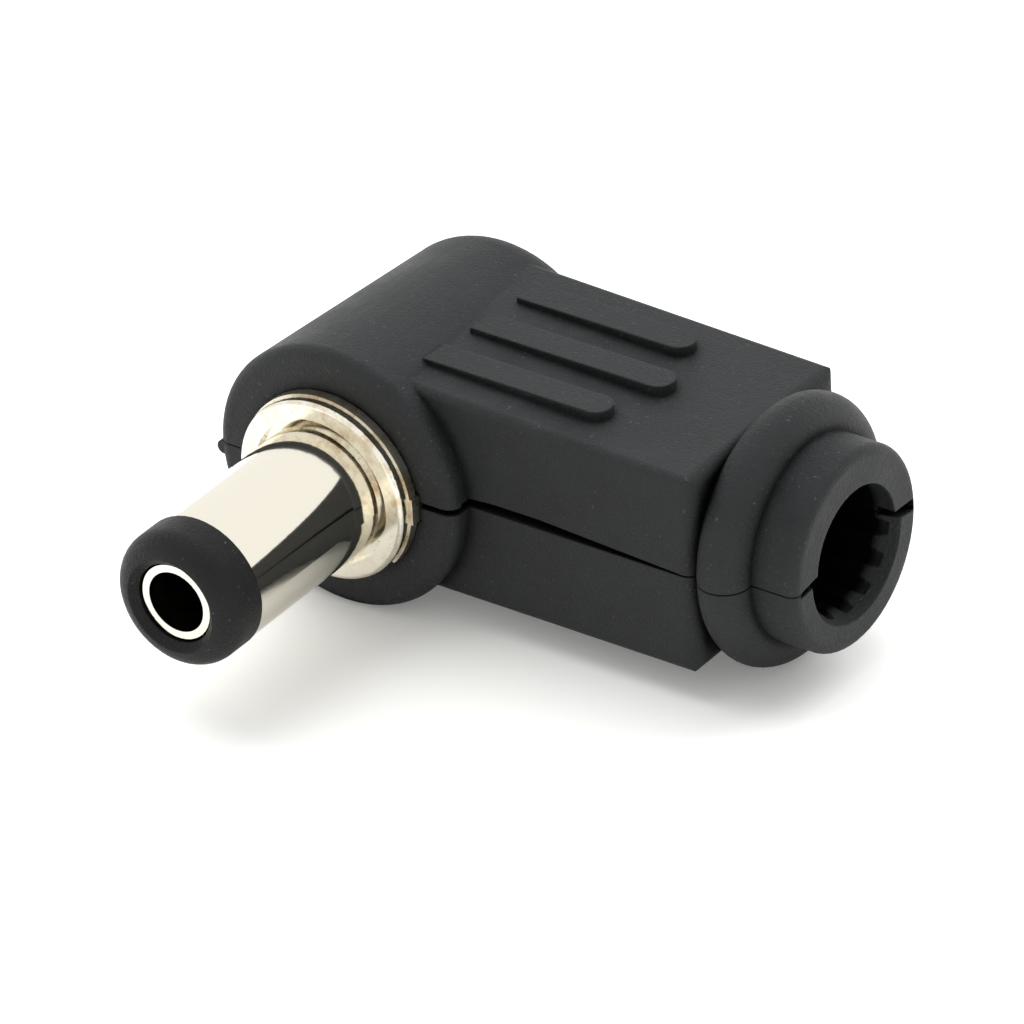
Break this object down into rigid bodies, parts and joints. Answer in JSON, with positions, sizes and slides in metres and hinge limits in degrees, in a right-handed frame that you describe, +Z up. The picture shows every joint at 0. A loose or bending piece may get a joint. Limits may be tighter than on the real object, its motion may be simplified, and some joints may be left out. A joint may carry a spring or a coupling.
{
  "type": "dc barrel plug",
  "caption": "Right-angle DC power barrel plug with a solder-type two-part snap housing, ribbed grip and round side cable outlet.",
  "frame": {"origin": "where the barrel axis crosses the front face of the flange", "axes": "-Y along the barrel towards its nose, +X along the arm towards the cable outlet, +Z up; the shells part on the plane z = 0"},
  "size_m": [0.0253, 0.0224, 0.011],
  "materials": {
    "housing": "fine textured black",
    "insulator": "satin black",
    "nickel": "bright nickel plating with stains",
    "tinned": "tin plating"
  },
  "bodies": {
    "root": {"top_shell": "housing", "bottom_shell": "housing", "sleeve": "nickel", "ground_lug": "tinned", "insulator": "insulator", "centre_contact": "nickel", "centre_lug": "tinned"}
  },
  "joints": []
}
